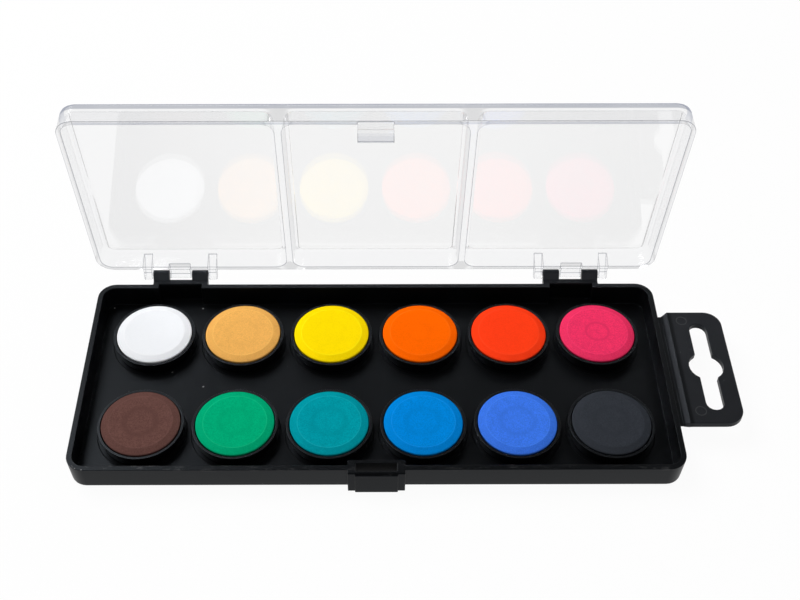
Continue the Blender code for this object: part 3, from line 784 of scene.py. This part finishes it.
def given(tree, node):
    """The tree's inputs by their names."""
    return {socket.name: Value(tree, socket) for socket in node.outputs if socket.name}


def end_tree(tree, geometry, finish):
    """Realize the instances, set the finish and hand the result on."""
    real = put(tree, "GeometryNodeRealizeInstances", values={0: geometry})
    done = put(tree, "GeometryNodeSetMaterial",
               values={"Geometry": Value(tree, real.outputs[0]), "Material": finish})
    out = put(tree, "NodeGroupOutput")
    tree.links.new(done.outputs[0], out.inputs[0])


def pressing_tree():
    """Relief on top of the pattern, and then one copy of it at the given place."""
    tree = new_tree("press_and_place", {
        "Place": "Vector", "Turn": "Float", "Seed": "Float", "Relief": "Float",
        "Ring Radius": "Float", "Top": "Float", "Edge Radius": "Float", "Finish": "Material"})
    inputs = given(tree, put(tree, "NodeGroupInput"))
    position = Value(tree, put(tree, "GeometryNodeInputPosition").outputs[0])
    split = put(tree, "ShaderNodeSeparateXYZ", values={0: position})
    x, y, z = [Value(tree, socket) for socket in split.outputs]
    radius = (x * x + y * y) ** 0.5
    on_top = (z - inputs["Top"]).step(*TOP_ZONE)

    def noise(blotch, detail):
        values = {"Vector": position, "W": inputs["Seed"], "Scale": 1 / blotch, "Detail": detail}
        node = put(tree, "ShaderNodeTexNoise", {"noise_dimensions": "4D"}, values)
        return Value(tree, node.outputs[0])

    dents = noise(DENT_SIZE, 4) - 0.5
    ring = 1 - abs(radius - inputs["Ring Radius"]).step(0, PRESS_WIDTH)
    along_edge = (radius / inputs["Edge Radius"]).step(*EDGE_ZONE)
    chips = noise(CHIP_SIZE, 2).step(*CHIP_LEVELS) * along_edge
    push = on_top * inputs["Relief"] * (dents - ring * PRESS_DEPTH - chips * CHIP_DEPTH)
    offset = put(tree, "ShaderNodeCombineXYZ", values={"Z": push})
    moved = put(tree, "GeometryNodeSetPosition",
                values={"Geometry": inputs["Geometry"], "Offset": Value(tree, offset.outputs[0])})
    point = put(tree, "GeometryNodePoints", values={"Count": 1, "Position": inputs["Place"]})
    turn = put(tree, "ShaderNodeCombineXYZ", values={"Z": inputs["Turn"]})
    values = {"Points": point, "Instance": moved, "Rotation": turn}
    placed = put(tree, "GeometryNodeInstanceOnPoints",
                 values={key: Value(tree, node.outputs[0]) for key, node in values.items()})
    end_tree(tree, Value(tree, placed.outputs[0]), inputs["Finish"])
    return tree


press_and_place = pressing_tree()
print("tree inputs:", len(press_and_place.interface.items_tree) - 1)

# %% [markdown]
# A modifier runs the tree on a copy of the pattern, and each input is set by its identifier,
# because a name wouldn't reach it. The result is then kept as a plain mesh, since an export
# drops instances, and the worker with its modifier is thrown away.


# %% Turn a tree's result into a plain mesh
def made_by(tree, source, name, **settings):
    """Run the tree on a copy of the source, and return the result as a plain mesh object."""
    worker = source.copy()
    bpy.context.scene.collection.objects.link(worker)
    step = worker.modifiers.new("tree", "NODES")
    step.node_group = tree
    for item in tree.interface.items_tree:
        key = item.name.replace(" ", "_").lower()
        if item.item_type == "SOCKET" and item.in_out == "INPUT" and key in settings:
            step[item.identifier] = settings[key]
    evaluated = worker.evaluated_get(bpy.context.evaluated_depsgraph_get())
    data = bpy.data.meshes.new_from_object(evaluated)
    data.name = name
    bpy.data.objects.remove(worker)
    piece = bpy.data.objects.new(name, data)
    bpy.context.scene.collection.objects.link(piece)
    return piece


print("trees can be applied")

# %% [markdown]
# The real pans are thin moulded cups. They are glossier than the tray, so the same two blacks
# get a little more shine here, and their dust is finer. Their satin grain is too small to need
# a real shape, so a faint bump does for it.

# %% Pan plastic
PAN_SHINE = 0.27
PAN_ROUGHNESS = 0.24
PAN_CLOUD_ROUGHNESS = 0.12
PAN_RELIEF = 0.006 * MM
PAN_DUST_LEVELS = (0.5, 0.65)
PAN_DUST_GREY = shade(0.25)


def pan_finish():
    """Black plastic that is a little glossier than the tray's, with fine dust."""
    finish = Finish("pan plastic", **{"Specular IOR Level": PAN_SHINE, "Specular Tint": COOL_SHINE})
    cloud = finish.noise(6 * MM, detail=3)
    grain = finish.noise(0.12 * MM, detail=1)
    dust = finish.specks(1.3 * MM, 0.09 * MM) * cloud.step(*PAN_DUST_LEVELS)
    black = finish.colour(cloud, *BLACKS)
    finish.drive(Base_Color=finish.colour(dust * DUST_PALENESS, black, PAN_DUST_GREY),
                 Roughness=cloud * PAN_CLOUD_ROUGHNESS + PAN_ROUGHNESS)
    finish.bump(grain, PAN_RELIEF)
    return finish.material


pan_plastic = pan_finish()
print("finish:", pan_plastic.name)

# %% [markdown]
# The paint is dry pressed pigment: fully matt, finely grained, pitted, and dusted with paler
# grains. Each paint's noise is centred on its own pan and has its own seed, so that no two
# tablets are alike. After each colour comes how worn that tablet looks, because the white one
# is almost flawless and the brown one is pitted, and then the radius and the width in
# millimetres of the ring that the press left on it. The colour also holds painted light: the
# pits and the press ring get painted shade, stronger on a more worn tablet, the sloping edge
# gets a little painted shade too, and where the flat top turns down into the slope, the bright
# paints have a thin painted highlight.

# %% Paint
PAINTS = {
    "white": ((0.855, 0.87, 0.895), 0.15, 4.6, 1.5),
    "ochre": ((0.80, 0.41, 0.10), 1.2, 4.6, 1.5),
    "yellow": ((0.95, 0.69, 0.002), 0.6, 4.6, 1.5),
    "orange": ((0.97, 0.125, 0.001), 0.8, 3.4, 0.8),
    "vermilion": ((0.99, 0.047, 0.009), 0.9, 4.0, 1.5),
    "magenta": ((0.82, 0.034, 0.12), 1.7, 3.4, 0.7),
    "brown": ((0.127, 0.060, 0.051), 2.6, 4.6, 1.5),
    "green": ((0.001, 0.39, 0.175), 1.8, 4.4, 1.5),
    "turquoise": ((0.001, 0.30, 0.36), 2.0, 4.6, 1.5),
    "cerulean": ((0.001, 0.225, 0.67), 1.7, 4.6, 1.5),
    "ultramarine": ((0.046, 0.180, 0.79), 1.9, 4.7, 1.3),
    "black": ((0.032, 0.036, 0.044), 1.9, 4.6, 1.5),
}
RING_SHADE = 0.36
CREASE_RADIUS = 9.0 * MM
CREASE_WIDTH = 0.22 * MM
HIGHLIGHT_SHARE = 0.35
SLOPE_START = (8.9 * MM, 9.2 * MM)
SLOPE_SHADE_SHARE = 0.3
BODY_LEVELS = (0.36, 0.64)
PIT_LEVELS = (0.46, 0.60)
PIT_SHADE_SHARE = 0.22
PAINT_DUST_SHARE = 0.03
PAINT_ROUGHNESS = 0.75
PAINT_RELIEF = 0.018 * MM


def paint_finish(name, colour, wear, ring_radius, ring_width, seed):
    """Dry paint of one colour. More wear means deeper relief, more dust, and more painted shade in
    the ring and the pits.
    """
    finish = Finish(name + " paint", centre=PLACES[name], **{"Specular IOR Level": 0.0})
    darker = (*[part * (1 - 0.09 * wear) for part in colour], 1)
    lighter = (*[min(part * (1 + 0.07 * wear), 1) for part in colour], 1)
    highlight = (*[min(part * 1.5 + 0.02, 1) for part in colour], 1)
    pit_shade = (*[part * 0.3 for part in colour], 1)
    brightest = max(colour)
    mottle = finish.noise(2.2 * MM, detail=5, roughness=0.65, seed=seed)
    grain = finish.noise(0.32 * MM, detail=3, roughness=0.65, seed=seed)
    body = finish.colour((mottle * 0.2 + grain * 0.8).step(*BODY_LEVELS), darker, lighter)
    radius = finish.distance()
    # Painted highlight: a thin pale line where the flat top meets the slope, on the bright paints.
    crease_highlight = 1 - abs(radius - CREASE_RADIUS).step(0, CREASE_WIDTH)
    highlighted = finish.colour(crease_highlight * (HIGHLIGHT_SHARE * min(1, brightest * 5)), body, highlight)
    # Painted shade: the press ring and the sloping edge are made darker.
    ring = 1 - abs(radius - ring_radius * MM).step(0, ring_width * MM)
    slope = radius.step(*SLOPE_START)
    painted_shade = ring * (RING_SHADE / ring_width * wear) + slope * SLOPE_SHADE_SHARE
    shaded = finish.colour(painted_shade, highlighted, darker)
    # Painted shade: the pits are made darker, besides being pressed in by the bump.
    pits = finish.specks(0.9 * MM, 0.11 * MM, seed=seed + 0.5) * mottle.step(*PIT_LEVELS)
    pit_shaded = finish.colour(pits * (PIT_SHADE_SHARE * wear), shaded, pit_shade)
    dust = finish.specks(1.6 * MM, 0.08 * MM, seed=seed)
    dusted = finish.colour(dust * (PAINT_DUST_SHARE * wear), pit_shaded, shade(0.4 + 0.5 * brightest))
    finish.drive(Base_Color=dusted, Roughness=grain * 0.15 + slope * 0.05 + PAINT_ROUGHNESS)
    finish.bump(grain * 0.6 + mottle * 0.4 - pits, PAINT_RELIEF * wear)
    return finish.material


paint_finishes = {}
for seed, (name, row) in enumerate(PAINTS.items()):
    paint_finishes[name] = paint_finish(name, *row, float(seed))
print("paints:", len(paint_finishes))

# %% [markdown]
# Now every place gets its pan and its tablet. A pan has no relief. A tablet gets its own turn
# and seed, and relief that grows with its wear. Both ride on the body of the pan, because the
# paint comes out of the tray with its cup.

# %% Pans and tablets in their places
TURN_STEP = 0.7
SEED_STEP = 3.0
RELIEF = 0.05 * MM

for index, (name, place) in enumerate(PLACES.items()):
    wear, ring_radius = PAINTS[name][1:3]
    pan = made_by(press_and_place, pan_pattern, "pan_cup_" + name, place=place, turn=0.0, seed=0.0,
                  relief=0.0, ring_radius=0.0, top=1.0, edge_radius=1.0, finish=pan_plastic)
    tablet = made_by(press_and_place, tablet_pattern, "tablet_" + name, place=place,
                     turn=index * TURN_STEP, seed=index * SEED_STEP, relief=RELIEF * wear,
                     ring_radius=ring_radius * MM, top=TABLET_TOP * MM,
                     edge_radius=TABLET_RADIUS * MM, finish=paint_finishes[name])
    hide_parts("pan_" + name)
    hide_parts("paint_" + name)
    for piece, slot_name in ((pan, "pan_plastic"), (tablet, name + "_paint")):
        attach(piece, "pan_" + name)
for pattern in (pan_pattern, tablet_pattern):
    bpy.data.objects.remove(pattern)
print("tablet faces:", len(tablet.data.polygons))
